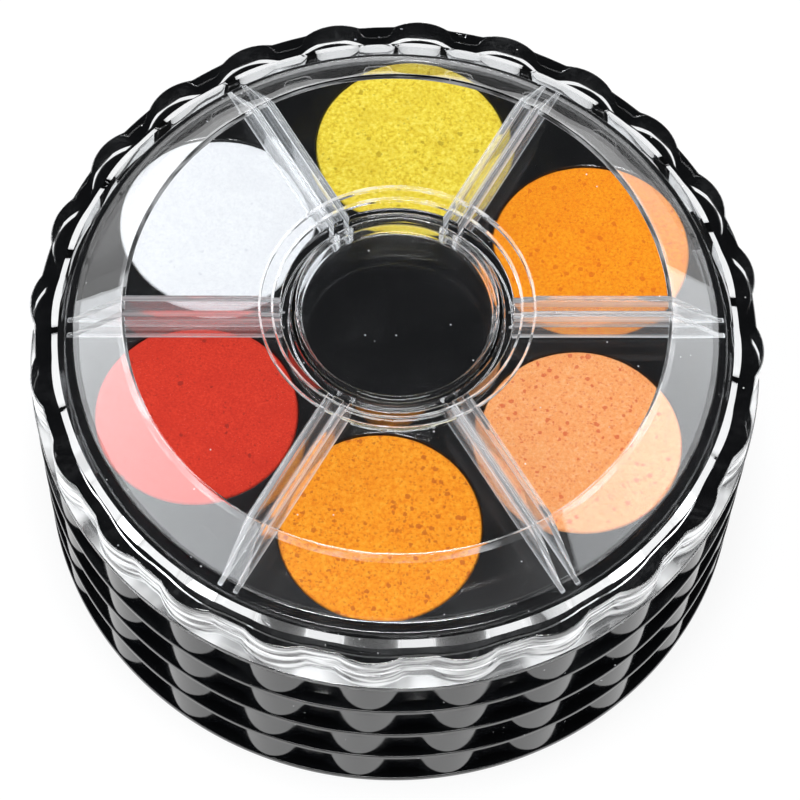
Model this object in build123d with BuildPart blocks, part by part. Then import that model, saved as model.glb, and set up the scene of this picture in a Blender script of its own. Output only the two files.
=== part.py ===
from build123d import *
import math
import os

# A stack of four round watercolour trays under a clear lid, in millimetres.
# Z points up. The origin is on the axis, at the bottom of the lowest tray.
os.makedirs("parts", exist_ok=True)

# The stack
tray_pitch = 9.2  # from one tray's lip to the next
shoulder_thickness = 1.4  # of the ring on which the next tray's lip stands
seat_gap = 0.3  # between a collar's top and the tray that it goes into
lid_seat_gap = 0.2  # between a collar's top and the lid
fit_gap = 0.2  # between lugs and the wall that they slide along

# The skirt that trays and lid share
lip_radius = 56.0
lip_height = 1.2
lip_chamfer = 0.4
lip_edge = 0.15  # the small chamfer on top of the lip, which the lobes come down to
wall_inset = 1.25  # of the wall's top edge behind the lip
wall_lean = 0.65  # how much further in the wall is at its foot
skirt_width = 4.6  # from the lip's edge to the bore
lobe_count = 24
lobe_width = 8.0

# The collar that goes up into the piece above, and the deck on it
collar_gap = 1.0
collar_wall = 1.5
collar_chamfer = 0.4
deck_thickness = 1.4

# Wells and paint cakes
cake_count = 6
cake_thickness = 5.5
cake_chamfer = 0.4
cake_gap = 0.1
cake_sink = 0.1
cup_gap = 0.8  # between one well's cup and the next
cup_bite = 0.2  # of the cups into the collar's wall
well_wall = 1.0
well_floor = 1.0

# Twist lugs, shown in the released position
lug_count = 6
lug_width = 8.0
lug_height = 1.5
lug_low = 2.2
lug_play = 0.3
lug_angle = 27.0

# The lid above its own lip
lid_thickness = 1.5
flange_width = 2.5  # from the bore to the foot of the slope
slope_width = 7.7
slope_rise = 6.6

# The hub in the middle of the lid
dish_radius = 14.4
dish_flare = 0.8
dish_depth = 2.9
dish_margin = 1.1  # from the dish's mouth to the wall under it
hub_wall_thickness = 1.2
hub_ledge = 1.4  # from that wall to the step
hub_step_width = 1.9
hub_step_depth = 0.6

# The paired fins that part the lid's mixing wells
fin_thickness = 0.9
fin_gap = 1.7
fin_turn = 4.7  # of the fins from the line between two cakes, in degrees

# How the trays stood in the stack, lowest first: a slight turn in degrees
tray_turns = [-1.5, -1.5, 0.0, 0.0]

# The colours in each tray, lowest tray first, clockwise from the far side
tray_colours = [
    ["ochre", "sienna", "umber", "brown", "grey", "black"],
    ["turquoise", "sky_blue", "ultramarine", "emerald", "leaf_green", "olive"],
    ["pink", "rose", "crimson", "magenta", "violet", "lilac"],
    ["yellow", "orange", "salmon", "amber", "red", "white"],
]

# Sizes that follow from those above
full_turn = 360.0
wall_radius = lip_radius - wall_inset
skirt_bore = lip_radius - skirt_width
collar_radius = skirt_bore - collar_gap
collar_bore = collar_radius - collar_wall
collar_rise = tray_pitch - shoulder_thickness - seat_gap
deck_height = tray_pitch + collar_rise
lobe_edge = lip_radius - lip_edge
lobe_reach = lobe_edge - wall_radius
lobe_radius = (lobe_width**2 / 4 + lobe_reach**2) / (2 * lobe_reach)
lobe_centre = lobe_edge - lobe_radius
cake_top = deck_height - cake_sink
well_bottom = cake_top - cake_thickness
cup_reach = collar_bore + cup_bite
cake_ring_radius = (cup_reach + cup_gap / 2) / (1 + math.sin(math.pi / cake_count))
cup_radius = cup_reach - cake_ring_radius
well_radius = cup_radius - well_wall
cake_radius = well_radius - cake_gap
cup_bottom = well_bottom - well_floor
cake_step = full_turn / cake_count
lid_level = len(tray_turns)
flange_underside = collar_rise + lid_seat_gap
flange_top = flange_underside + lid_thickness
slope_foot_radius = skirt_bore - flange_width
plateau_radius = slope_foot_radius - slope_width
plateau_height = flange_top + slope_rise
dish_mouth_radius = dish_radius + dish_flare
hub_wall_bore = dish_mouth_radius + dish_margin
hub_wall_radius = hub_wall_bore + hub_wall_thickness
hub_step_inner = hub_wall_radius + hub_ledge
hub_step_outer = hub_step_inner + hub_step_width


def base_plane(level, turn):
    """The plane of a piece's lip, at its level in the stack."""
    return Plane.XY.offset(level * tray_pitch).rotated((0, 0, turn))


def section_plane(base):
    """The upright plane through the axis, for the sections that are revolved."""
    return Plane(origin=base.origin, x_dir=base.x_dir, z_dir=-base.y_dir)


def skirt_outline(top):
    """The outside of the skirt in section, from the bore round the lip to its top edge."""
    Polyline(
        (skirt_bore, 0),
        (lip_radius - lip_chamfer, 0),
        (lip_radius, lip_chamfer),
        (lip_radius, lip_height - lip_edge),
        (lobe_edge, lip_height),
        (wall_radius - wall_lean, lip_height),
        (wall_radius, top),
    )


def lobe_sketch(base):
    """The lobes of the grip seen from above, joined by a ring inside the wall."""
    with BuildSketch(base.offset(lip_height)) as lobes:
        with PolarLocations(lobe_centre, lobe_count):
            Circle(lobe_radius)
        Circle(skirt_bore, mode=Mode.SUBTRACT)
    return lobes.sketch


def lug_sketch(base, height, inner, outer, start_angle):
    """Short arcs between two radii, for the twist lugs."""
    with BuildSketch(base.offset(height)) as lugs:
        with PolarLocations((inner + outer) / 2, lug_count, start_angle=start_angle):
            Rectangle(lug_width / 2, lug_width)
        Circle(outer, mode=Mode.INTERSECT)
        Circle(inner, mode=Mode.SUBTRACT)
    return lugs.sketch


def skirt_lug_sketch(base):
    """Lugs inside the skirt, near its lip."""
    tip = collar_radius + fit_gap
    return lug_sketch(base, lug_low, tip, skirt_bore + fit_gap, lug_angle)


def collar_lug_sketch(base):
    """Lugs outside the collar, half a step round and one lug higher."""
    height = tray_pitch + lug_low + lug_height + lug_play
    between = lug_angle + full_turn / lug_count / 2
    return lug_sketch(base, height, collar_radius - fit_gap, skirt_bore - fit_gap, between)


def make_tray(name, level, turn):
    """One moulded tray: skirt, collar, deck and six wells in one piece."""
    base = base_plane(level, turn)
    axis = Axis(base.origin, base.z_dir)
    deck_underside = deck_height - deck_thickness
    shoulder_underside = tray_pitch - shoulder_thickness
    with BuildPart() as tray:
        with BuildSketch(section_plane(base)):
            with BuildLine():
                skirt_outline(tray_pitch)
                Polyline(
                    (wall_radius, tray_pitch),
                    (collar_radius, tray_pitch),
                    (collar_radius, deck_height - collar_chamfer),
                    (collar_radius - collar_chamfer, deck_height),
                    (0, deck_height),
                    (0, deck_underside),
                    (collar_bore, deck_underside),
                    (collar_bore, shoulder_underside),
                    (skirt_bore, shoulder_underside),
                    (skirt_bore, 0),
                )
            make_face()
        revolve(axis=axis)
        add(lobe_sketch(base))
        extrude(amount=tray_pitch - lip_height)
        with BuildSketch(base.offset(cup_bottom)):
            with PolarLocations(cake_ring_radius, cake_count, start_angle=cake_step / 2):
                Circle(cup_radius)
            Circle((collar_radius + collar_bore) / 2, mode=Mode.INTERSECT)
        extrude(amount=deck_height - cup_bottom - collar_chamfer)
        with BuildSketch(base.offset(well_bottom)):
            with PolarLocations(cake_ring_radius, cake_count, start_angle=cake_step / 2):
                Circle(well_radius)
        extrude(amount=deck_height - well_bottom, mode=Mode.SUBTRACT)
        add(skirt_lug_sketch(base))
        extrude(amount=lug_height)
        add(collar_lug_sketch(base))
        extrude(amount=lug_height)
    tray.part.label = name
    return tray.part


def make_cake(name, level, turn, place):
    """One pressed paint cake in its well."""
    base = base_plane(level, turn)
    angle = full_turn / 4 - place * cake_step
    with BuildPart() as cake:
        with BuildSketch(base.offset(well_bottom)):
            with PolarLocations(cake_ring_radius, 1, start_angle=angle):
                Circle(cake_radius)
        extrude(amount=cake_thickness)
        chamfer(cake.faces().sort_by(Axis.Z)[-1].edges(), cake_chamfer)
    cake.part.label = name
    return cake.part


def make_lid():
    """The clear lid, which is a palette of six mixing wells when it is turned over."""
    base = base_plane(lid_level, 0)
    axis = Axis(base.origin, base.z_dir)
    upright = lid_thickness * math.hypot(slope_width, slope_rise) / slope_width
    plateau_underside = plateau_height - lid_thickness
    hub_top = plateau_height - hub_step_depth
    hub_underside = hub_top - lid_thickness
    dish_top = plateau_height - dish_depth
    dish_underside = dish_top - lid_thickness
    inner_foot = slope_foot_radius - (upright - lid_thickness) * slope_width / slope_rise
    inner_edge = inner_foot - (plateau_underside - flange_underside) * slope_width / slope_rise
    fin_middle = (hub_wall_bore + slope_foot_radius) / 2
    fin_length = slope_foot_radius - hub_wall_bore
    fin_side = (fin_gap + fin_thickness) / 2
    with BuildPart() as palette_lid:
        with BuildSketch(base.offset(flange_underside)):
            with PolarLocations(fin_middle, cake_count, start_angle=fin_turn):
                with Locations((0, fin_side), (0, -fin_side)):
                    Rectangle(fin_length, fin_thickness)
            Circle(hub_wall_radius)
            Circle(hub_wall_bore, mode=Mode.SUBTRACT)
        extrude(amount=plateau_height - flange_underside)
        with BuildSketch(section_plane(base)):
            Polygon(
                (0, flange_underside),
                (slope_foot_radius, flange_underside),
                (slope_foot_radius, flange_top),
                (inner_edge, plateau_height - lid_thickness / 2),
                (hub_step_outer, plateau_height - lid_thickness / 2),
                (hub_step_inner, hub_top - lid_thickness / 2),
                (0, hub_top - lid_thickness / 2),
                align=None,
            )
        revolve(axis=axis, mode=Mode.INTERSECT)
        with BuildSketch(section_plane(base)):
            with BuildLine():
                skirt_outline(flange_top)
                Polyline(
                    (wall_radius, flange_top),
                    (slope_foot_radius, flange_top),
                    (plateau_radius, plateau_height),
                    (hub_step_outer, plateau_height),
                    (hub_step_inner, hub_top),
                    (dish_mouth_radius, hub_top),
                    (dish_radius, dish_top),
                    (0, dish_top),
                    (0, dish_underside),
                    (dish_radius + lid_thickness, dish_underside),
                    (dish_mouth_radius + lid_thickness, hub_underside),
                    (hub_step_inner, hub_underside),
                    (hub_step_outer, plateau_underside),
                    (inner_edge, plateau_underside),
                    (inner_foot, flange_underside),
                    (skirt_bore, flange_underside),
                    (skirt_bore, 0),
                )
            make_face()
        revolve(axis=axis)
        add(lobe_sketch(base))
        extrude(amount=flange_top - lip_height)
        add(skirt_lug_sketch(base))
        extrude(amount=lug_height)
    palette_lid.part.label = "palette_lid"
    return palette_lid.part


for level, turn in enumerate(tray_turns):
    tray_name = f"tray_{level + 1}"
    export_step(make_tray(tray_name, level, turn), f"parts/{tray_name}.step")
    for place, colour in enumerate(tray_colours[level]):
        cake_name = f"{tray_name}_cake_{colour}"
        export_step(make_cake(cake_name, level, turn, place), f"parts/{cake_name}.step")

export_step(make_lid(), "parts/palette_lid.step")
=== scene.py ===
import math

import bmesh
import bpy
from mathutils import Matrix, Vector, noise


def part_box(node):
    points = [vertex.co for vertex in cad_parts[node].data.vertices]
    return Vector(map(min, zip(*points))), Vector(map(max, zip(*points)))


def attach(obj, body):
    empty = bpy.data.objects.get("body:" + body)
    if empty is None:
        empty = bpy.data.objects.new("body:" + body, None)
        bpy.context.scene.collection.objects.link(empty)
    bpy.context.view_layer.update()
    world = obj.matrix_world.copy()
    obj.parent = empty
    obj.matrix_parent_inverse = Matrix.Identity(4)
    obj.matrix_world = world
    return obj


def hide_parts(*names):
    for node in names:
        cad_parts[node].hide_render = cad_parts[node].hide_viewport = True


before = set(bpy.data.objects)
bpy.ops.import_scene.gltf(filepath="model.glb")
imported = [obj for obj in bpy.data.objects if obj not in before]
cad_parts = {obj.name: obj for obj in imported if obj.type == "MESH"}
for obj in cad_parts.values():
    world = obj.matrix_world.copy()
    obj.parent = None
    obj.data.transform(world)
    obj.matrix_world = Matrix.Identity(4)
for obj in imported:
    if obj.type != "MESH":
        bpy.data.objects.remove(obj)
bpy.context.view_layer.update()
mm = 0.001
fullTurn = 2 * math.pi
print("stage: frame loaded")

# Camera, matched to the circles of the lid, the trays and the cakes in the photograph
cameraLook = {
    "aim": (0.000995, -0.000351, 0.0224),
    "azimuth": 2.036,  # degrees round the axis from straight in front
    "elevation": 62.345,
    "roll": 2.365,
    "distance": 0.4749,
    "lens": 134.9,
    "clip": (0.02, 20),
}


def placeCamera(look):
    data = bpy.data.cameras.new("photoCamera")
    data.lens = look["lens"]
    data.clip_start, data.clip_end = look["clip"]
    camera = bpy.data.objects.new("photoCamera", data)
    bpy.context.scene.collection.objects.link(camera)
    turn = Matrix.Rotation(math.radians(look["azimuth"]), 4, "Z")
    tilt = Matrix.Rotation(math.radians(90 - look["elevation"]), 4, "X")
    roll = Matrix.Rotation(math.radians(look["roll"]), 4, "Z")
    back = Matrix.Translation((0, 0, look["distance"]))
    camera.matrix_world = Matrix.Translation(look["aim"]) @ turn @ tilt @ roll @ back
    bpy.context.scene.camera = camera


placeCamera(cameraLook)
print("stage: camera placed")

# The skirt that trays and lid share. Sizes are in millimetres, from the frame where it holds them
lidLow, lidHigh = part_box("palette_lid")
trayLow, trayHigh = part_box("tray_1")
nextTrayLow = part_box("tray_2")[0]
skirt = {
    "lipRadius": round((lidHigh.x - lidLow.x) / 2 / mm, 2),
    "lipHeight": 1.2,
    "lipRound": 0.4,
    "lipEdge": 0.15,
    "lipSeam": 0.01,  # keeps the lip's top clear of the lobes, so no faces fold back
    "wallRadius": 54.75,
    "wallLean": 0.65,
    "wallRings": 10,
    "height": round((nextTrayLow.z - trayLow.z) / mm, 2),
    "bore": 51.4,
    "shoulderInset": 1.5,
    "lobeCount": 24,
    "lobeWidth": 8.0,
    "lobeEdge": 55.8,
    "cuspBlend": 0.12,
    "rimRound": 0.35,
    "rimSteps": 4,
    "sides": 480,
}


# Colour and node helpers
def linear(code):
    channels = [int(code[i : i + 2], 16) / 255 for i in (1, 3, 5)]
    return tuple(c / 12.92 if c <= 0.04045 else ((c + 0.055) / 1.055) ** 2.4 for c in channels) + (1.0,)


def addNode(tree, kind, settings=None, links=None):
    node = tree.nodes.new(kind)
    for name, value in (settings or {}).items():
        setattr(node, name, value)
    for socket, value in (links or {}).items():
        if isinstance(value, bpy.types.NodeSocket):
            tree.links.new(value, node.inputs[socket])
        else:
            node.inputs[socket].default_value = value
    return node


def newMaterial(name):
    material = bpy.data.materials.new(name)
    material.use_nodes = True
    material.node_tree.nodes.clear()
    return material, material.node_tree


def perMetre(size):
    # how many features of this size, in millimetres, fit in a metre
    return 1 / (size * mm)


def dustSpecks(tree, place, look):
    # sparse points of light dust: the middles of those voronoi cells whose random value is low
    cells = addNode(tree, "ShaderNodeTexVoronoi", None, {
        "Vector": place,
        "Scale": perMetre(look["dustSpacing"]),
    })
    picked = addNode(tree, "ShaderNodeSeparateColor", None, {"Color": cells.outputs["Color"]})
    chosen = addNode(tree, "ShaderNodeMath", {"operation": "LESS_THAN"}, {
        0: picked.outputs[0],
        1: look["dustShare"],
    })
    near = addNode(tree, "ShaderNodeMath", {"operation": "LESS_THAN"}, {
        0: cells.outputs["Distance"],
        1: look["dustSize"],
    })
    both = addNode(tree, "ShaderNodeMath", {"operation": "MULTIPLY"}, {
        0: chosen.outputs[0],
        1: near.outputs[0],
    })
    return both.outputs[0]


# Black high impact polystyrene, injection moulded: a soft gloss, faintly uneven, with pale dust
blackPlastic = {
    "colour": "#08090b",
    "ior": 1.59,
    "roughness": (0.07, 0.17),
    "mottle": 6.0,  # millimetres between duller and brighter places
    "mottleRange": (0.3, 0.7),
    "grain": 0.25,
    "grainDepth": 0.004,
    "grainStrength": 0.5,
    "dustColour": "#b9babd",
    "dustSpacing": 1.6,  # real dust is finer: it is drawn coarse enough to show
    "dustShare": 0.12,
    "dustSize": 0.09,
}


def makeBlackPolystyrene(look):
    material, tree = newMaterial("blackPolystyrene")
    place = addNode(tree, "ShaderNodeTexCoord").outputs["Object"]
    mottle = addNode(tree, "ShaderNodeTexNoise", None, {
        "Vector": place,
        "Scale": perMetre(look["mottle"]),
        "Detail": 4,
    })
    gloss = addNode(tree, "ShaderNodeMapRange", None, {
        "Value": mottle.outputs[0],
        "From Min": look["mottleRange"][0],
        "From Max": look["mottleRange"][1],
        "To Min": look["roughness"][0],
        "To Max": look["roughness"][1],
    })
    colour = addNode(tree, "ShaderNodeMix", {"data_type": "RGBA"}, {
        0: dustSpecks(tree, place, look),
        6: linear(look["colour"]),
        7: linear(look["dustColour"]),
    })
    grain = addNode(tree, "ShaderNodeTexNoise", None, {
        "Vector": place,
        "Scale": perMetre(look["grain"]),
        "Detail": 2,
    })
    bump = addNode(tree, "ShaderNodeBump", None, {
        "Height": grain.outputs[0],
        "Distance": look["grainDepth"] * mm,
        "Strength": look["grainStrength"],
    })
    shader = addNode(tree, "ShaderNodeBsdfPrincipled", None, {
        "Base Color": colour.outputs[2],
        "Roughness": gloss.outputs[0],
        "IOR": look["ior"],
        "Normal": bump.outputs[0],
    })
    addNode(tree, "ShaderNodeOutputMaterial", None, {"Surface": shader.outputs[0]})
    return material


# Crystal polystyrene, injection moulded and polished: water clear, a few fine scuffs, with painted glow
# on its edges and fins
clearPlastic = {
    "colour": "#fbfcfd",
    "ior": 1.59,
    "roughness": (0.0, 0.03),
    "cloud": 9.0,  # millimetres between clearer and duller places
    "cloudRange": (0.45, 0.8),
    "scuff": 0.5,
    "scuffDepth": 0.0015,
    "scuffStrength": 0.3,
    "shadowTint": "#f6f7f8",
    "dustAndGlowColour": "#ffffff",
    "streak": 1.3,  # height of one streak
    "streakLength": 9.0,
    "streakRange": (0.38, 0.66),
    "paintedGlowShare": (0.2, 1.6),  # least and most painted glow, as a share of the finish's own
    "mostPaintedGlow": 0.9,
    "finMiddle": lidLow.z + 11.0 * mm,
    "finReach": (1.6, 2.7),  # the painted glow streaks of a fin grow from this far to this far off its middle
    "finMiddleShare": 0.3,
    "dustSpacing": 1.7,  # real dust is finer: it is drawn coarse enough to show
    "dustShare": 0.12,
    "dustSize": 0.07,
    "dustStrength": 0.6,
}


def paintedGlowStreaks(tree, place, look, pale):
    # painted glow: pale streaks painted where light would run along inside a fin or the skirt
    spot = addNode(tree, "ShaderNodeSeparateXYZ", None, {0: place})
    angle = addNode(tree, "ShaderNodeMath", {"operation": "ARCTAN2"}, {
        0: spot.outputs["Y"],
        1: spot.outputs["X"],
    })
    along = addNode(tree, "ShaderNodeMath", {"operation": "MULTIPLY"}, {
        0: angle.outputs[0],
        1: skirt["wallRadius"] / look["streakLength"],
    })
    across = addNode(tree, "ShaderNodeMath", {"operation": "MULTIPLY"}, {
        0: spot.outputs["Z"],
        1: perMetre(look["streak"]),
    })
    lay = addNode(tree, "ShaderNodeCombineXYZ", None, {"X": along.outputs[0], "Y": across.outputs[0]})
    streak = addNode(tree, "ShaderNodeTexNoise", None, {
        "Vector": lay.outputs[0],
        "Scale": 1.0,
        "Detail": 2,
    })
    share = addNode(tree, "ShaderNodeMapRange", {"interpolation_type": "SMOOTHSTEP"}, {
        "Value": streak.outputs[0],
        "From Min": look["streakRange"][0],
        "From Max": look["streakRange"][1],
        "To Min": pale * look["paintedGlowShare"][0],
        "To Max": min(pale * look["paintedGlowShare"][1], look["mostPaintedGlow"]),
    })
    # a fin is clearest half way up, with more painted glow where it meets the plateau and at its free
    # edge
    offMiddle = addNode(tree, "ShaderNodeMath", {"operation": "SUBTRACT"}, {
        0: spot.outputs["Z"],
        1: look["finMiddle"],
    })
    distance = addNode(tree, "ShaderNodeMath", {"operation": "ABSOLUTE"}, {0: offMiddle.outputs[0]})
    ends = addNode(tree, "ShaderNodeMapRange", None, {
        "Value": distance.outputs[0],
        "From Min": look["finReach"][0] * mm,
        "From Max": look["finReach"][1] * mm,
        "To Min": look["finMiddleShare"],
        "To Max": 1.0,
    })
    both = addNode(tree, "ShaderNodeMath", {"operation": "MULTIPLY"}, {
        0: share.outputs[0],
        1: ends.outputs[0],
    })
    return both.outputs[0]


def makeCrystalPolystyrene(name, look, pale, inner):
    # pale is the share of painted glow in the finish, a white diffuse that stands in for light piped
    # through the plastic, and inner how much of it shows from within the plastic
    material, tree = newMaterial(name)
    place = addNode(tree, "ShaderNodeTexCoord").outputs["Object"]
    cloud = addNode(tree, "ShaderNodeTexNoise", None, {
        "Vector": place,
        "Scale": perMetre(look["cloud"]),
        "Detail": 5,
    })
    gloss = addNode(tree, "ShaderNodeMapRange", None, {
        "Value": cloud.outputs[0],
        "From Min": look["cloudRange"][0],
        "From Max": look["cloudRange"][1],
        "To Min": look["roughness"][0],
        "To Max": look["roughness"][1],
    })
    scuff = addNode(tree, "ShaderNodeTexNoise", None, {
        "Vector": place,
        "Scale": perMetre(look["scuff"]),
        "Detail": 3,
    })
    bump = addNode(tree, "ShaderNodeBump", None, {
        "Height": scuff.outputs[0],
        "Distance": look["scuffDepth"] * mm,
        "Strength": look["scuffStrength"],
    })
    clear = addNode(tree, "ShaderNodeBsdfPrincipled", None, {
        "Base Color": linear(look["colour"]),
        "Roughness": gloss.outputs[0],
        "IOR": look["ior"],
        "Transmission Weight": 1.0,
        "Normal": bump.outputs[0],
    })
    # white diffuse for the dust, and for the painted glow of piped light
    dustAndPaintedGlow = addNode(tree, "ShaderNodeBsdfDiffuse", None, {"Color": linear(look["dustAndGlowColour"])})
    dust = addNode(tree, "ShaderNodeMath", {"operation": "MULTIPLY"}, {
        0: dustSpecks(tree, place, look),
        1: look["dustStrength"],
    })
    share = addNode(tree, "ShaderNodeMath", {"operation": "MAXIMUM"}, {
        0: paintedGlowStreaks(tree, place, look, pale),
        1: dust.outputs[0],
    })
    face = addNode(tree, "ShaderNodeNewGeometry")
    front = addNode(tree, "ShaderNodeMath", {"operation": "SUBTRACT"}, {
        0: 1.0,
        1: face.outputs["Backfacing"],
    })
    shows = addNode(tree, "ShaderNodeMath", {"operation": "MAXIMUM"}, {0: front.outputs[0], 1: inner})
    shown = addNode(tree, "ShaderNodeMath", {"operation": "MULTIPLY"}, {
        0: share.outputs[0],
        1: shows.outputs[0],
    })
    lit = addNode(tree, "ShaderNodeMixShader", None, {
        0: shown.outputs[0],
        1: clear.outputs[0],
        2: dustAndPaintedGlow.outputs[0],
    })
    # light on its way to the cakes passes straight through, so the paint stays evenly lit
    through = addNode(tree, "ShaderNodeBsdfTransparent", None, {"Color": linear(look["shadowTint"])})
    ray = addNode(tree, "ShaderNodeLightPath")
    straight = addNode(tree, "ShaderNodeMath", {"operation": "MAXIMUM"}, {
        0: ray.outputs["Is Shadow Ray"],
        1: ray.outputs["Is Diffuse Ray"],
    })
    body = addNode(tree, "ShaderNodeMixShader", None, {
        0: straight.outputs[0],
        1: lit.outputs[0],
        2: through.outputs[0],
    })
    addNode(tree, "ShaderNodeOutputMaterial", None, {"Surface": body.outputs[0]})
    return material


# Pressed watercolour: chalk, pigment and gum packed in a die. Dull and dry, with grains of its pigment
pressedPaint = {
    "roughness": 0.85,
    "ior": 1.45,
    "specular": 0.3,
    "darkRange": (0.5, 0.66),
    "lightRange": (0.48, 0.34),
    "patch": 4.5,  # millimetres across a patch of deeper colour
    "patchRange": (0.45, 0.75),
    "patchShare": 0.5,
    "wobble": 0.5,
    "wobbleShare": 0.0006,
    "specks": ((0.42, 2.2, 0.5), (0.95, 1.0, 0.75)),  # size, share and strength: fine ones, then coarse
    "speckReach": 0.48,
    "grainDepth": 0.06,
    "grainStrength": 0.6,
    "grainRoughness": 0.6,
}

# For each cake: main colour, mottle, light grain, speck, share of specks, grain in millimetres
cakeLooks = {
    "tray_4_cake_yellow": ("#f3d83e", "#dcb826", "#fae660", "#b89a1c", 0.12, 0.55),
    "tray_4_cake_orange": ("#fb9605", "#f48204", "#ffa518", "#e46804", 0.24, 0.45),
    "tray_4_cake_salmon": ("#fba968", "#f79a58", "#fdb47c", "#e0623a", 0.34, 0.5),
    "tray_4_cake_amber": ("#fb9a18", "#f0840c", "#ffaa2c", "#c85c14", 0.34, 0.55),
    "tray_4_cake_red": ("#d2311b", "#c22816", "#dc3d24", "#8f1c12", 0.06, 0.3),
    "tray_4_cake_white": ("#f3f3f4", "#ebebed", "#f8f8f8", "#dedee2", 0.02, 0.4),
    "tray_3_cake_pink": ("#e88aa0", "#de7890", "#f0a0b2", "#c04c6c", 0.1, 0.4),
    "tray_3_cake_rose": ("#d44a68", "#c43c5a", "#e0607c", "#a42240", 0.1, 0.4),
    "tray_3_cake_crimson": ("#9c1a30", "#8a1228", "#b02a40", "#600a1a", 0.08, 0.35),
    "tray_3_cake_magenta": ("#a82470", "#981a62", "#b8367e", "#701048", 0.1, 0.4),
    "tray_3_cake_violet": ("#5a2c8a", "#4e227c", "#6a3c9a", "#36145c", 0.12, 0.4),
    "tray_3_cake_lilac": ("#a48ac2", "#967ab6", "#b49cce", "#75589a", 0.12, 0.45),
    "tray_2_cake_turquoise": ("#1f9c9c", "#188c8e", "#34aaa8", "#0d6468", 0.1, 0.4),
    "tray_2_cake_sky_blue": ("#4a94c8", "#3c86bc", "#62a4d2", "#235f94", 0.1, 0.4),
    "tray_2_cake_ultramarine": ("#22389c", "#1a2e8c", "#3048ac", "#101c60", 0.1, 0.35),
    "tray_2_cake_emerald": ("#168a5e", "#107a52", "#269a6c", "#08563a", 0.12, 0.4),
    "tray_2_cake_leaf_green": ("#5a9c34", "#4e8e2a", "#6eac44", "#346a18", 0.14, 0.45),
    "tray_2_cake_olive": ("#6a6c2c", "#5e6024", "#7a7c38", "#424414", 0.16, 0.45),
    "tray_1_cake_ochre": ("#c48c34", "#b67e28", "#d09c48", "#8c5a18", 0.16, 0.45),
    "tray_1_cake_sienna": ("#a4522a", "#944620", "#b46238", "#6c2c10", 0.14, 0.4),
    "tray_1_cake_umber": ("#5c4430", "#503a28", "#6c523c", "#382618", 0.14, 0.4),
    "tray_1_cake_brown": ("#6a3020", "#5c2618", "#7a3c2a", "#40160c", 0.12, 0.4),
    "tray_1_cake_grey": ("#7c7e82", "#707276", "#8c8e92", "#54565a", 0.1, 0.4),
    "tray_1_cake_black": ("#26272a", "#1e1f22", "#323336", "#101113", 0.06, 0.35),
}


def paintSpecks(tree, place, tone, speck, share, size, strength):
    # grains of pigment: round spots of many sizes in some of the voronoi cells
    look = pressedPaint
    cells = addNode(tree, "ShaderNodeTexVoronoi", None, {"Vector": place, "Scale": perMetre(size)})
    picked = addNode(tree, "ShaderNodeSeparateColor", None, {"Color": cells.outputs["Color"]})
    chosen = addNode(tree, "ShaderNodeMath", {"operation": "LESS_THAN"}, {
        0: picked.outputs[0],
        1: share,
    })
    reach = addNode(tree, "ShaderNodeMath", {"operation": "MULTIPLY"}, {
        0: picked.outputs[1],
        1: look["speckReach"],
    })
    near = addNode(tree, "ShaderNodeMath", {"operation": "LESS_THAN"}, {
        0: cells.outputs["Distance"],
        1: reach.outputs[0],
    })
    spots = addNode(tree, "ShaderNodeMath", {"operation": "MULTIPLY"}, {
        0: chosen.outputs[0],
        1: near.outputs[0],
    })
    faded = addNode(tree, "ShaderNodeMath", {"operation": "MULTIPLY"}, {
        0: spots.outputs[0],
        1: strength,
    })
    return addNode(tree, "ShaderNodeMix", {"data_type": "RGBA"}, {
        0: faded.outputs[0],
        6: tone.outputs[2],
        7: speck,
    })


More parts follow.
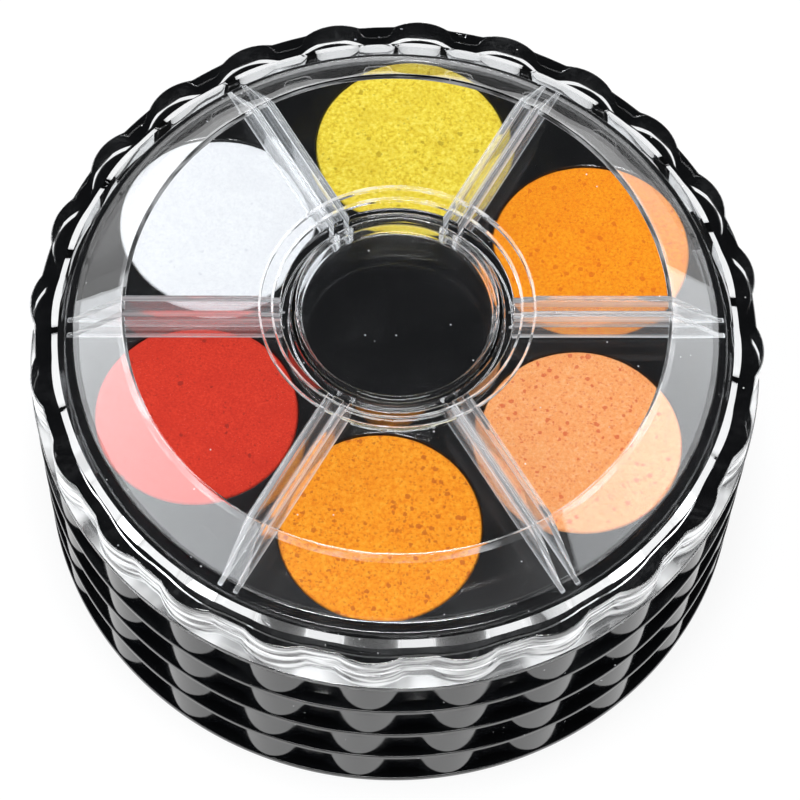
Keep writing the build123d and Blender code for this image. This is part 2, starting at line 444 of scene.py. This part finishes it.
def makePressedPaint(name, colours):
    look = pressedPaint
    base, mottle, pale, speck = [linear(code) for code in colours[:4]]
    speckShare, grain = colours[4:]
    material, tree = newMaterial("pressedPaint_" + name)
    place = addNode(tree, "ShaderNodeTexCoord").outputs["Object"]
    grains = addNode(tree, "ShaderNodeTexNoise", None, {
        "Vector": place,
        "Scale": perMetre(grain),
        "Detail": 3,
        "Roughness": look["grainRoughness"],
    })
    dark = addNode(tree, "ShaderNodeMapRange", None, {
        "Value": grains.outputs[0],
        "From Min": look["darkRange"][0],
        "From Max": look["darkRange"][1],
    })
    light = addNode(tree, "ShaderNodeMapRange", None, {
        "Value": grains.outputs[0],
        "From Min": look["lightRange"][0],
        "From Max": look["lightRange"][1],
    })
    patches = addNode(tree, "ShaderNodeTexNoise", None, {
        "Vector": place,
        "Scale": perMetre(look["patch"]),
        "Detail": 4,
    })
    depth = addNode(tree, "ShaderNodeMapRange", None, {
        "Value": patches.outputs[0],
        "From Min": look["patchRange"][0],
        "From Max": look["patchRange"][1],
        "To Max": look["patchShare"],
    })
    tone = addNode(tree, "ShaderNodeMix", {"data_type": "RGBA"}, {
        0: dark.outputs[0],
        6: base,
        7: mottle,
    })
    tone = addNode(tree, "ShaderNodeMix", {"data_type": "RGBA"}, {
        0: light.outputs[0],
        6: tone.outputs[2],
        7: pale,
    })
    tone = addNode(tree, "ShaderNodeMix", {"data_type": "RGBA"}, {
        0: depth.outputs[0],
        6: tone.outputs[2],
        7: mottle,
    })
    wobble = addNode(tree, "ShaderNodeTexNoise", None, {
        "Vector": place,
        "Scale": perMetre(look["wobble"]),
        "Detail": 2,
    })
    bent = addNode(tree, "ShaderNodeMix", {"data_type": "VECTOR"}, {
        0: look["wobbleShare"],
        4: place,
        5: wobble.outputs["Color"],
    })
    for size, share, strength in look["specks"]:
        tone = paintSpecks(tree, bent.outputs[1], tone, speck, speckShare * share, size, strength)
    bump = addNode(tree, "ShaderNodeBump", None, {
        "Height": grains.outputs[0],
        "Distance": look["grainDepth"] * mm,
        "Strength": look["grainStrength"],
    })
    shader = addNode(tree, "ShaderNodeBsdfPrincipled", None, {
        "Base Color": tone.outputs[2],
        "Roughness": look["roughness"],
        "IOR": look["ior"],
        "Specular IOR Level": look["specular"],
        "Normal": bump.outputs[0],
    })
    addNode(tree, "ShaderNodeOutputMaterial", None, {"Surface": shader.outputs[0]})
    return material


# The finishes of the lid: share of painted glow, and how much of it shows from inside the plastic
lidFinishesAndPaintedGlow = {
    "crystalPolystyrene": (0.0, 0.0),
    "crystalPolystyrenePaintedGlowEdge": (0.5, 0.0),  # outer face of the skirt, with painted glow streaks
    "crystalPolystyrenePaintedHighlightRound": (0.22, 0.8),  # rounded corners, with painted highlight lines where they would catch the light
    # the fins, with painted glow where light would run inside them
    "crystalPolystyrenePaintedGlowFin": (0.5, 0.8),
}
blackPolystyrene = makeBlackPolystyrene(blackPlastic)
lidMaterials = [makeCrystalPolystyrene(name, clearPlastic, *look) for name, look in lidFinishesAndPaintedGlow.items()]
paintedGlowEdge, paintedHighlightRound, paintedGlowFin = range(1, len(lidMaterials))  # every other face keeps the first
print("stage: materials made")


# Mesh helpers. Sections are drawn in millimetres and turned round the axis
def polar(reach, angle, height):
    return reach * mm * math.cos(angle), reach * mm * math.sin(angle), height * mm


def meshData(name, mesh):
    data = bpy.data.meshes.new(name)
    mesh.to_mesh(data)
    mesh.free()
    return data


def placed(name, data):
    piece = bpy.data.objects.new(name, data)
    bpy.context.scene.collection.objects.link(piece)
    return piece


def lobeRadius(angle):
    # distance from the axis to the lobe's arc, at an angle round the axis
    half = skirt["lobeWidth"] / 2
    reach = skirt["lobeEdge"] - skirt["wallRadius"]
    arc = (half**2 + reach**2) / (2 * reach)
    centre = skirt["lobeEdge"] - arc
    step = fullTurn / skirt["lobeCount"]
    away = (angle + step / 2) % step - step / 2
    side = centre * math.sin(away)
    return centre * math.cos(away) + math.sqrt(max(arc**2 - side**2, 0))


def wallRadius(height):
    share = (height - skirt["lipHeight"]) / (skirt["height"] - skirt["lipHeight"])
    return skirt["wallRadius"] - skirt["wallLean"] * (1 - share)


def blendMax(first, second, width):
    # the larger of two values, with a soft change from one to the other
    mix = max(width - abs(first - second), 0) / width
    return max(first, second) + mix * mix * width / 4


def roundedPath(corners, steps=4):
    # corners are (radius, height, rounding); each rounded corner becomes a short arc
    path = []
    for index, (radius, height, rounding) in enumerate(corners):
        here = Vector((radius, height))
        if rounding == 0 or index in (0, len(corners) - 1):
            path.append((radius, height))
            continue
        before = (Vector(corners[index - 1][:2]) - here).normalized()
        after = (Vector(corners[index + 1][:2]) - here).normalized()
        half = before.angle(after) / 2
        reach = rounding / math.tan(half)
        centre = here + (before + after).normalized() * (rounding / math.sin(half))
        start = here + before * reach - centre
        sweep = start.angle_signed(here + after * reach - centre)
        for step in range(steps + 1):
            spoke = start.copy()
            spoke.rotate(Matrix.Rotation(-sweep * step / steps, 2))
            path.append(tuple(centre + spoke))
    return path


def plain(path):
    # rings that are true circles
    return [(radius, height, 0, 1) for radius, height in path]


def skirtRings():
    # the scalloped side, from the lip's top to the rim: rings of radius, height, inset and how far
    # they follow the lobes, where no radius means the lobed wall itself
    rings = []
    low, high = skirt["lipHeight"], skirt["height"] - skirt["rimRound"]
    for step in range(skirt["wallRings"] + 1):
        rings.append((None, low + (high - low) * step / skirt["wallRings"], 0, 1))
    for step in range(1, skirt["rimSteps"] + 1):
        bend = math.pi / 2 * step / skirt["rimSteps"]
        drop = skirt["rimRound"] * (1 - math.sin(bend))
        rings.append((None, skirt["height"] - drop, skirt["rimRound"] * (1 - math.cos(bend)), 1))
    return rings


def lipTop():
    # the lip's outer corners and its flat top, up to the foot of the lobes
    return [
        (skirt["lipRadius"], 0, skirt["lipRound"]),
        (skirt["lipRadius"], skirt["lipHeight"], skirt["lipEdge"]),
        (skirt["lipRadius"] - skirt["lipEdge"] - skirt["lipSeam"], skirt["lipHeight"], 0),
    ]


def ringReach(ring, angle):
    radius, height, inset, follow = ring
    if radius is not None:
        return radius
    wall = wallRadius(height)
    lobed = blendMax(wall, lobeRadius(angle), skirt["cuspBlend"])
    return wall + follow * (lobed - wall) - inset


def revolvedMesh(name, rings, sides):
    # rings run once round the section; a ring of radius 0 is a point on the axis
    mesh = bmesh.new()
    loops = []
    for ring in rings:
        radius, height = ring[:2]
        if radius == 0:
            loops.append([mesh.verts.new((0, 0, height * mm))])
            continue
        angles = [fullTurn * side / sides for side in range(sides)]
        loops.append([mesh.verts.new(polar(ringReach(ring, angle), angle, height)) for angle in angles])
    for first, second in zip(loops, loops[1:] + loops[:1]):
        if len(first) == 1 and len(second) == 1:
            continue
        for side in range(sides):
            after = (side + 1) % sides
            if len(first) == 1:
                mesh.faces.new((first[0], second[after], second[side]))
            elif len(second) == 1:
                mesh.faces.new((first[side], first[after], second[0]))
            else:
                mesh.faces.new((first[side], first[after], second[after], second[side]))
    bmesh.ops.recalc_face_normals(mesh, faces=mesh.faces[:])
    return placed(name, meshData(name, mesh))


def joined(name, parts):
    mesh = bmesh.new()
    for data in parts:
        mesh.from_mesh(data)
    return placed(name, meshData(name, mesh))


def combine(piece, tool, operation):
    cut = piece.modifiers.new("combine", "BOOLEAN")
    cut.object = tool
    cut.operation = operation
    cut.solver = "EXACT"
    graph = bpy.context.evaluated_depsgraph_get()
    shaped = piece.evaluated_get(graph)
    done = bpy.data.meshes.new_from_object(shaped, preserve_all_data_layers=True, depsgraph=graph)
    piece.modifiers.clear()
    piece.data = done
    bpy.data.objects.remove(tool)


def finishSurface(piece, sharpest=0.6):
    # smooth faces, with an edge kept where they meet at more than this angle, in radians
    piece.data.shade_smooth()
    piece.data.set_sharp_from_angle(angle=sharpest)
    even = piece.modifiers.new("evenShading", "WEIGHTED_NORMAL")
    even.keep_sharp = True


# Twist lugs: six inside every skirt, and six outside every collar, half way between them
lugs = {
    "count": 6,
    "angle": 27.0,
    "width": 8.0,
    "low": 2.2,
    "high": 3.7,
    "inner": 50.6,
    "outer": 51.9,
    "collarInner": 49.9,
    "collarOuter": 51.2,
    "collarLift": 1.8,
    "collarHeight": 1.5,
    "steps": 8,
    "rounding": 0.3,
    "sharpEdge": 0.8,  # radians
}


def lugMesh(inner, outer, low, high, middle):
    # a curved block between two radii, with rounded corners
    mesh = bmesh.new()
    half = lugs["width"] / 2 / outer
    section = ((inner, low), (outer, low), (outer, high), (inner, high))
    rows = []
    for step in range(lugs["steps"] + 1):
        angle = middle - half + 2 * half * step / lugs["steps"]
        rows.append([mesh.verts.new(polar(reach, angle, height)) for reach, height in section])
    for first, second in zip(rows, rows[1:]):
        for corner in range(len(section)):
            after = (corner + 1) % len(section)
            mesh.faces.new((first[corner], second[corner], second[after], first[after]))
    mesh.faces.new(rows[0])
    mesh.faces.new(list(reversed(rows[-1])))
    bmesh.ops.recalc_face_normals(mesh, faces=mesh.faces[:])
    sharp = [edge for edge in mesh.edges if edge.calc_face_angle(0) > lugs["sharpEdge"]]
    offset = lugs["rounding"] * mm
    bmesh.ops.bevel(mesh, geom=sharp, offset=offset, segments=3, profile=0.5, affect="EDGES")
    return meshData("lug", mesh)


def lugRing(inner, outer, low, high, start):
    step = fullTurn / lugs["count"]
    return [lugMesh(inner, outer, low, high, start + step * index) for index in range(lugs["count"])]


def skirtLugs(outer):
    return lugRing(lugs["inner"], outer, lugs["low"], lugs["high"], math.radians(lugs["angle"]))


def collarLugs():
    start = math.radians(lugs["angle"]) + fullTurn / lugs["count"] / 2
    low = skirt["height"] + lugs["low"] + lugs["collarLift"]
    return lugRing(lugs["collarInner"], lugs["collarOuter"], low, low + lugs["collarHeight"], start)


# The clear lid, measured in millimetres from its own lip
lid = {
    "thickness": 1.25,
    "plateauHeight": round((lidHigh.z - lidLow.z) / mm, 2),
    "plateauRadius": 41.2,
    "plateauRound": 0.4,
    "footRadius": 48.9,
    "footRound": 0.6,
    "innerEdgeRound": 0.2,
    "brightStrip": 0.8,
    "innerFootRound": 0.5,
    "stepOuter": 20.8,
    "stepInner": 18.9,
    "stepDepth": 0.6,
    "stepRun": 0.3,
    "stepRound": 0.12,
    "underStepRound": 0.1,
    "coneRadius": 51.3,
    "coneDrop": 1.3,
    "skirtThickness": 2.3,
    "innerWave": 0.2,  # how far the inside of the skirt follows the lobes
    "boreEdge": 0.2,
    "lipWidth": 1.2,
    "lugRoot": 0.6,
    "dishRadius": 14.4,
    "dishRound": 0.4,
    "dishWall": 0.8,  # share of the thickness, at the corner under the dish
    "dishMouth": 15.2,
    "mouthRound": 0.3,
    "dishDepth": 2.9,
    "hubWallRadius": 17.5,
    "hubWallThickness": 1.2,
    "hubBoreRound": 0.25,
    "hubEdgeRound": 0.3,
    "hubRootRound": 0.2,
}
fins = {
    "count": 6,
    "thickness": 0.9,
    "gap": 1.7,
    "turn": 4.7,
    "taper": 0.12,
    "drop": 1.5,
    "edgeRound": 0.2,
    "edgeBand": 0.1,
}

# Which faces of the lid get painted highlight lines: narrow ones that lean, near its rounded corners
paintedHighlightLines = {
    "reach": 0.35,
    "stepShift": 0.15,
    "lean": (0.1, 0.995),
    "largest": 0.7,  # square millimetres
    "skirtBand": 1,
    "rim": 0.05,
}


def lidSection():
    top, flange = lid["plateauHeight"], skirt["height"]
    run, rise = lid["footRadius"] - lid["plateauRadius"], top - flange
    upright = lid["thickness"] * math.hypot(run, rise) / run
    under, below = top - lid["thickness"], flange - lid["thickness"]
    innerFoot = lid["footRadius"] - (below + upright - flange) * run / rise
    innerEdge = lid["footRadius"] - (under + upright - flange) * run / rise
    hubTop = top - lid["stepDepth"]
    dishTop = top - lid["dishDepth"]
    hubUnder, dishUnder = hubTop - lid["thickness"], dishTop - lid["thickness"]
    halfStep, halfUnder = (top + hubTop) / 2, (hubUnder + under) / 2
    outerRun, innerRun = lid["stepOuter"] - lid["stepRun"], lid["stepInner"] - lid["stepRun"]
    wallBore = lid["hubWallRadius"] - lid["hubWallThickness"]
    wallFoot = skirt["height"] - fins["drop"]
    outside = roundedPath([
        (skirt["wallRadius"] - skirt["shoulderInset"], flange, 0),
        (lid["footRadius"], flange, lid["footRound"]),
        (lid["plateauRadius"], top, lid["plateauRound"]),
        (lid["stepOuter"], top, lid["stepRound"]),
        (outerRun, halfStep, lid["stepRound"]),
        (lid["stepInner"], halfStep, lid["stepRound"]),
        (innerRun, hubTop, lid["stepRound"]),
        (lid["dishMouth"], hubTop, lid["mouthRound"]),
        (lid["dishRadius"], dishTop, lid["dishRound"]),
        (0, dishTop, 0),
    ])
    underTop = roundedPath([
        (0, dishUnder, 0),
        (lid["dishRadius"] + lid["thickness"] * lid["dishWall"], dishUnder, lid["dishRound"]),
        (wallBore, hubUnder, lid["hubBoreRound"]),
        (wallBore, wallFoot, lid["hubEdgeRound"]),
        (lid["hubWallRadius"], wallFoot, lid["hubEdgeRound"]),
        (lid["hubWallRadius"], hubUnder, lid["hubRootRound"]),
        (innerRun, hubUnder, lid["underStepRound"]),
        (lid["stepInner"], halfUnder, lid["underStepRound"]),
        (outerRun, halfUnder, lid["underStepRound"]),
        (lid["stepOuter"], under, lid["underStepRound"]),
        (innerEdge, under, lid["innerEdgeRound"]),
        (innerEdge + lid["brightStrip"], under - lid["brightStrip"] * rise / run, 0),
        (innerFoot, below, lid["innerFootRound"]),
        (lid["coneRadius"], below, 0),
    ])
    innerWall = [
        (None, below - lid["coneDrop"], lid["skirtThickness"], lid["innerWave"]),
        (None, lid["boreEdge"], lid["skirtThickness"], lid["innerWave"]),
        (None, 0, lid["skirtThickness"] - lid["boreEdge"], lid["innerWave"]),
    ]
    lip = roundedPath([(skirt["lipRadius"] - lid["lipWidth"], 0, 0)] + lipTop())
    return plain(underTop) + innerWall + plain(lip) + skirtRings() + plain(outside)


def finMesh(angle, side):
    # one thin plate from the hub to the foot of the slope, a little thinner at its free edge
    top, flange = lid["plateauHeight"] - lid["thickness"] / 2, skirt["height"] - fins["drop"]
    start = lid["hubWallRadius"] - lid["hubWallThickness"] / 2
    slope = (lid["footRadius"] - lid["plateauRadius"]) / (lid["plateauHeight"] - skirt["height"])
    foot = lid["plateauRadius"] + (top - flange) * slope
    hubTop = lid["plateauHeight"] - lid["stepDepth"] - lid["thickness"] / 2
    outline = [
        (start, flange),
        (foot, flange),
        (lid["plateauRadius"], top),
        (lid["stepOuter"], top),
        (lid["stepInner"], hubTop),
        (start, hubTop),
    ]
    mesh = bmesh.new()
    faces = []
    for sign in (-1, 1):
        row = []
        for reach, height in outline:
            up = (height - flange) / (top - flange) * 2 - 1
            thick = fins["thickness"] / 2 + fins["taper"] / 2 * up
            across = side * (fins["gap"] + fins["thickness"]) / 2 + sign * thick
            row.append(mesh.verts.new((reach * mm, across * mm, height * mm)))
        faces.append(row)
    mesh.faces.new(faces[0])
    mesh.faces.new(list(reversed(faces[1])))
    for index in range(len(outline)):
        after = (index + 1) % len(outline)
        mesh.faces.new((faces[0][index], faces[0][after], faces[1][after], faces[1][index]))
    bmesh.ops.recalc_face_normals(mesh, faces=mesh.faces[:])
    lowest = min(vertex.co.z for vertex in mesh.verts) + fins["edgeBand"] * mm
    free = []
    for edge in mesh.edges:
        first, second = edge.verts
        if first.co.z < lowest and second.co.z < lowest and abs(first.co.x - second.co.x) > mm:
            free.append(edge)
    offset = fins["edgeRound"] * mm
    bmesh.ops.bevel(mesh, geom=free, offset=offset, segments=3, profile=0.5, affect="EDGES")
    spin = Matrix.Rotation(angle, 3, "Z")
    bmesh.ops.rotate(mesh, verts=mesh.verts[:], cent=(0, 0, 0), matrix=spin)
    return meshData("fin", mesh)


def markLidPaintedLight(piece):
    # painted glow streaks on the skirt's outer face, and painted highlight lines on the rounded corners
    shift = paintedHighlightLines["stepShift"]
    edges = [lid["plateauRadius"], lid["footRadius"], lid["stepOuter"] - shift, lid["stepInner"] - shift]
    flattest, steepest = paintedHighlightLines["lean"]
    for face in piece.data.polygons:
        reach = math.hypot(face.center.x, face.center.y) / mm
        height = face.center.z / mm
        near = any(abs(reach - edge) < paintedHighlightLines["reach"] for edge in edges)
        leans = flattest < abs(face.normal.z) < steepest
        if near and leans and face.area < paintedHighlightLines["largest"] * mm * mm:
            face.material_index = paintedHighlightRound
        outer = reach > skirt["wallRadius"] - paintedHighlightLines["skirtBand"]
        if outer and skirt["lipHeight"] < height < skirt["height"] - paintedHighlightLines["rim"]:
            face.material_index = paintedGlowEdge


def makeLid():
    piece = revolvedMesh("clearPaletteLid", lidSection(), skirt["sides"])
    lugOuter = skirt["wallRadius"] - lid["skirtThickness"] + lid["lugRoot"]
    combine(piece, joined("skirtLugs", skirtLugs(lugOuter)), "UNION")
    plates = []
    for index in range(fins["count"]):
        angle = math.radians(fins["turn"]) + fullTurn * index / fins["count"]
        plates += [finMesh(angle, side) for side in (-1, 1)]
    finPairs = joined("finPairs", plates)
    # the fins take the finish with painted glow
    for face in finPairs.data.polygons:
        face.material_index = paintedGlowFin
    for part in (finPairs, piece):
        for material in lidMaterials:
            part.data.materials.append(material)
    combine(piece, finPairs, "UNION")
    markLidPaintedLight(piece)
    piece.data.transform(Matrix.Translation((0, 0, lidLow.z)))
    finishSurface(piece)
    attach(piece, "palette_lid")
    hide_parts("palette_lid")


makeLid()
print("stage: lid made")

# The black trays, measured in millimetres from their own lip
cakeLow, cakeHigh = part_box("tray_1_cake_ochre")
cakeCentre = (cakeLow + cakeHigh) / 2
tray = {
    "deckHeight": round((trayHigh.z - trayLow.z) / mm, 2),
    "deckThickness": 1.4,
    "deckRound": 0.5,
    "underRound": 0.4,
    "shoulderThickness": 1.4,
    "shoulderRound": 0.25,
    "innerRound": 0.3,
    "boreEdge": 0.15,
    "collarRadius": 50.4,
    "collarWall": 1.5,
    "wellCount": 6,
    "wellStart": 30,  # degrees
    "wellRadius": 15.1,
    "wellFloor": round((cakeLow.z - trayLow.z) / mm, 2),
    "wellRing": round(math.hypot(cakeCentre.x, cakeCentre.y) / mm, 2),
    "wellEdge": 0.25,
    "wellEdgeBow": 0.3,
    "cupWall": 1.0,
    "cupFloor": 1.0,
    "cupRound": 0.6,
    "cupRoot": 0.6,  # how far below the deck's top a cup starts
    "plugSides": 96,
    "plugRise": 1,
    "turns": {"tray_1": -1.5, "tray_2": -1.5, "tray_3": 0.0, "tray_4": 0.0},
}


def traySection():
    deck, shoulder = tray["deckHeight"], skirt["height"]
    deckUnder, shoulderUnder = deck - tray["deckThickness"], shoulder - tray["shoulderThickness"]
    collarBore = tray["collarRadius"] - tray["collarWall"]
    outside = roundedPath([
        (skirt["wallRadius"] - skirt["shoulderInset"], shoulder, 0),
        (tray["collarRadius"], shoulder, tray["shoulderRound"]),
        (tray["collarRadius"], deck, tray["deckRound"]),
        (0, deck, 0),
    ])
    inside = roundedPath([
        (0, deckUnder, 0),
        (collarBore, deckUnder, tray["underRound"]),
        (collarBore, shoulderUnder, tray["innerRound"]),
        (skirt["bore"], shoulderUnder, tray["innerRound"]),
        (skirt["bore"], 0, tray["boreEdge"]),
    ] + lipTop())
    return plain(inside) + skirtRings() + plain(outside)


def wellPlugs(name, corners):
    # a closed round plug on the axis of each well, used to add the cups or to cut their hollows
    plugs = []
    for index in range(tray["wellCount"]):
        piece = revolvedMesh(name, plain(corners), tray["plugSides"])
        angle = math.radians(tray["wellStart"]) + fullTurn * index / tray["wellCount"]
        piece.data.transform(Matrix.Translation(polar(tray["wellRing"], angle, 0)))
        plugs.append(piece.data)
        bpy.data.objects.remove(piece)
    return plugs


def makeTrays():
    deck, floor = tray["deckHeight"], tray["wellFloor"]
    reach, edge = tray["wellRadius"], tray["wellEdge"]
    cup, cupTop, cupBottom = reach + tray["cupWall"], deck - tray["cupRoot"], floor - tray["cupFloor"]
    bow = edge * tray["wellEdgeBow"]
    cupCorners = roundedPath([
        (0, cupTop, 0),
        (cup, cupTop, 0),
        (cup, cupBottom, tray["cupRound"]),
        (0, cupBottom, 0),
    ])
    hollowCorners = [
        (0, floor),
        (reach, floor),
        (reach, deck - edge),
        (reach + bow, deck - bow),
        (reach + edge, deck),
        (reach + edge, deck + tray["plugRise"]),
        (0, deck + tray["plugRise"]),
    ]
    model = revolvedMesh("trayModel", traySection(), skirt["sides"])
    cups = wellPlugs("cup", cupCorners)
    hollows = wellPlugs("hollow", hollowCorners)
    model.data.materials.append(blackPolystyrene)
    combine(model, joined("cups", cups + skirtLugs(lugs["outer"]) + collarLugs()), "UNION")
    combine(model, joined("hollows", hollows), "DIFFERENCE")
    for name, turn in tray["turns"].items():
        piece = placed("black_" + name, model.data.copy())
        low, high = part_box(name)
        spin = Matrix.Rotation(math.radians(turn), 4, "Z")
        piece.data.transform(Matrix.Translation((0, 0, low.z)) @ spin)
        finishSurface(piece)
        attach(piece, name)
        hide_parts(name)
    bpy.data.objects.remove(model)


makeTrays()
print("stage: trays made")

# Pressed cakes, with rounded edges and a slightly uneven face
cake = {
    "sides": 96,
    "rings": 34,
    "edgeRound": 0.4,
    "edgeSteps": 5,
    "swell": 0.08,
    "grainDepth": 0.05,
    "grainSize": 1.1,
    "fineShare": 0.5,
    "fineScale": 2.3,
    "faceBand": 0.01,
}


def cakeProfile(radius, bottom, top):
    profile = [(0, bottom), (radius, bottom)]
    turn = cake["edgeRound"]
    for step in range(cake["edgeSteps"] + 1):
        bend = math.pi / 2 * step / cake["edgeSteps"]
        profile.append((radius - turn * (1 - math.cos(bend)), top - turn * (1 - math.sin(bend))))
    flat = radius - turn
    for step in range(1, cake["rings"]):
        profile.append((flat * (1 - step / cake["rings"]), top))
    profile.append((0, top))
    return profile


def makeCake(node):
    low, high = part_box(node)
    centre = (low + high) / 2
    radius, top, bottom = (high.x - low.x) / 2 / mm, high.z / mm, low.z / mm
    piece = revolvedMesh("pressed_" + node, plain(cakeProfile(radius, bottom, top)), cake["sides"])
    for vertex in piece.data.vertices:
        place = vertex.co / mm
        reach = math.hypot(place.x, place.y)
        if place.z < top - cake["edgeRound"] - cake["faceBand"]:
            continue
        seed = (place + centre / mm) / cake["grainSize"]
        rough = noise.noise(seed) + cake["fineShare"] * noise.noise(seed * cake["fineScale"])
        swell = cake["swell"] * (1 - (reach / radius) ** 2)
        vertex.co.z += (rough * cake["grainDepth"] + swell - cake["grainDepth"]) * mm
    piece.data.transform(Matrix.Translation((centre.x, centre.y, 0)))
    piece.data.materials.append(makePressedPaint(node, cakeLooks[node]))
    piece.data.shade_smooth()
    body = "_".join(node.split("_")[:2])
    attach(piece, body)
    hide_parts(node)


for node in cakeLooks:
    makeCake(node)
print("stage: cakes made")

# A pale table under a pale sky, a soft box at each side, and a small one overhead
studio = {
    "floorSize": 6.0,
    "floorSquares": 8,
    "floorColour": "#f4f4f4",
    "floorGlow": 0.85,
    "floorMottle": 40,
    "floorShade": (0.985, 1.0),
    "floorRoughness": 0.9,
    "floorSpecular": 0.1,
    "ambient": 0.05,
    "horizon": 1.0,
    "fade": (0.22, 0.6),  # sine of the elevation, from the pale band to the dark room above
    "lampHeight": 0.03,
    "boxes": [
        {
            "name": "leftSoftBox",
            "azimuth": 190,
            "elevation": 19,
            "distance": 0.7,
            "size": (1.12, 0.46),
            "power": 5.6,
            "colour": (0.94, 0.97, 1.0),
            "upright": "Y",
        },
        {
            "name": "rightSoftBox",
            "azimuth": 3,
            "elevation": 14,
            "distance": 0.7,
            "size": (1.3, 0.44),
            "power": 4.2,
            "colour": (0.94, 0.97, 1.0),
            "upright": "Y",
        },
        {
            "name": "topSoftBox",
            "azimuth": -90,
            "elevation": 88,
            "distance": 0.9,
            "size": (0.3, 0.3),
            "power": 6.9,
            "colour": (1, 1, 1),
            "upright": "X",
        },
    ],
}


def makeWhiteLaminate(look):
    # white laminate, pressed: matt and nearly even. The eye sees it white, and it keeps the shadow
    material, tree = newMaterial("whiteLaminate")
    place = addNode(tree, "ShaderNodeTexCoord").outputs["Object"]
    tone = addNode(tree, "ShaderNodeTexNoise", None, {
        "Vector": place,
        "Scale": perMetre(look["floorMottle"]),
        "Detail": 2,
    })
    shade = addNode(tree, "ShaderNodeMapRange", None, {
        "Value": tone.outputs[0],
        "To Min": look["floorShade"][0],
        "To Max": look["floorShade"][1],
    })
    colour = addNode(tree, "ShaderNodeMix", {"data_type": "RGBA"}, {
        0: shade.outputs[0],
        6: (0, 0, 0, 1),
        7: linear(look["floorColour"]),
    })
    matt = addNode(tree, "ShaderNodeBsdfPrincipled", None, {
        "Base Color": colour.outputs[2],
        "Roughness": look["floorRoughness"],
        "Specular IOR Level": look["floorSpecular"],
    })
    glow = addNode(tree, "ShaderNodeEmission", None, {"Color": (1, 1, 1, 1), "Strength": 1.0})
    ray = addNode(tree, "ShaderNodeLightPath")
    direct = addNode(tree, "ShaderNodeMath", {"operation": "MAXIMUM"}, {
        0: ray.outputs["Is Camera Ray"],
        1: ray.outputs["Is Transmission Ray"],
    })
    seen = addNode(tree, "ShaderNodeMath", {"operation": "MAXIMUM"}, {
        0: direct.outputs[0],
        1: ray.outputs["Is Glossy Ray"],
    })
    share = addNode(tree, "ShaderNodeMath", {"operation": "MULTIPLY"}, {
        0: seen.outputs[0],
        1: look["floorGlow"],
    })
    both = addNode(tree, "ShaderNodeMixShader", None, {
        0: share.outputs[0],
        1: matt.outputs[0],
        2: glow.outputs[0],
    })
    addNode(tree, "ShaderNodeOutputMaterial", None, {"Surface": both.outputs[0]})
    return material


def makeFloor(look):
    mesh = bmesh.new()
    squares = look["floorSquares"]
    bmesh.ops.create_grid(mesh, x_segments=squares, y_segments=squares, size=look["floorSize"] / 2)
    floor = placed("paleFloor", meshData("paleFloor", mesh))
    floor.data.materials.append(makeWhiteLaminate(look))


def makeWorld(look):
    world = bpy.data.worlds.new("paleStudio")
    bpy.context.scene.world = world
    world.use_nodes = True
    tree = world.node_tree
    tree.nodes.clear()
    sky = addNode(tree, "ShaderNodeTexCoord").outputs["Generated"]
    height = addNode(tree, "ShaderNodeSeparateXYZ", None, {0: sky})
    level = addNode(tree, "ShaderNodeMapRange", {"interpolation_type": "SMOOTHSTEP"}, {
        "Value": height.outputs["Z"],
        "From Min": look["fade"][0],
        "From Max": look["fade"][1],
        "To Min": look["horizon"],
        "To Max": look["ambient"],
    })
    ray = addNode(tree, "ShaderNodeLightPath")
    strength = addNode(tree, "ShaderNodeMix", {"data_type": "FLOAT"}, {
        0: ray.outputs["Is Camera Ray"],
        2: level.outputs[0],
        3: 1.0,
    })
    back = addNode(tree, "ShaderNodeBackground", None, {
        "Color": (1, 1, 1, 1),
        "Strength": strength.outputs[0],
    })
    addNode(tree, "ShaderNodeOutputWorld", None, {"Surface": back.outputs[0]})


def makeSoftBox(look):
    data = bpy.data.lights.new(look["name"], "AREA")
    data.shape = "RECTANGLE"
    data.size, data.size_y = look["size"]
    data.energy = look["power"]
    data.color = look["colour"]
    lamp = placed(look["name"], data)
    azimuth, elevation = math.radians(look["azimuth"]), math.radians(look["elevation"])
    level = math.cos(elevation)
    away = Vector((math.cos(azimuth) * level, math.sin(azimuth) * level, math.sin(elevation)))
    lamp.location = away * look["distance"] + Vector((0, 0, studio["lampHeight"]))
    lamp.rotation_mode = "QUATERNION"
    lamp.rotation_quaternion = away.to_track_quat("Z", look["upright"])


makeFloor(studio)
makeWorld(studio)
for box in studio["boxes"]:
    makeSoftBox(box)
bpy.context.scene.view_settings.view_transform = "Standard"
print("stage: studio made")
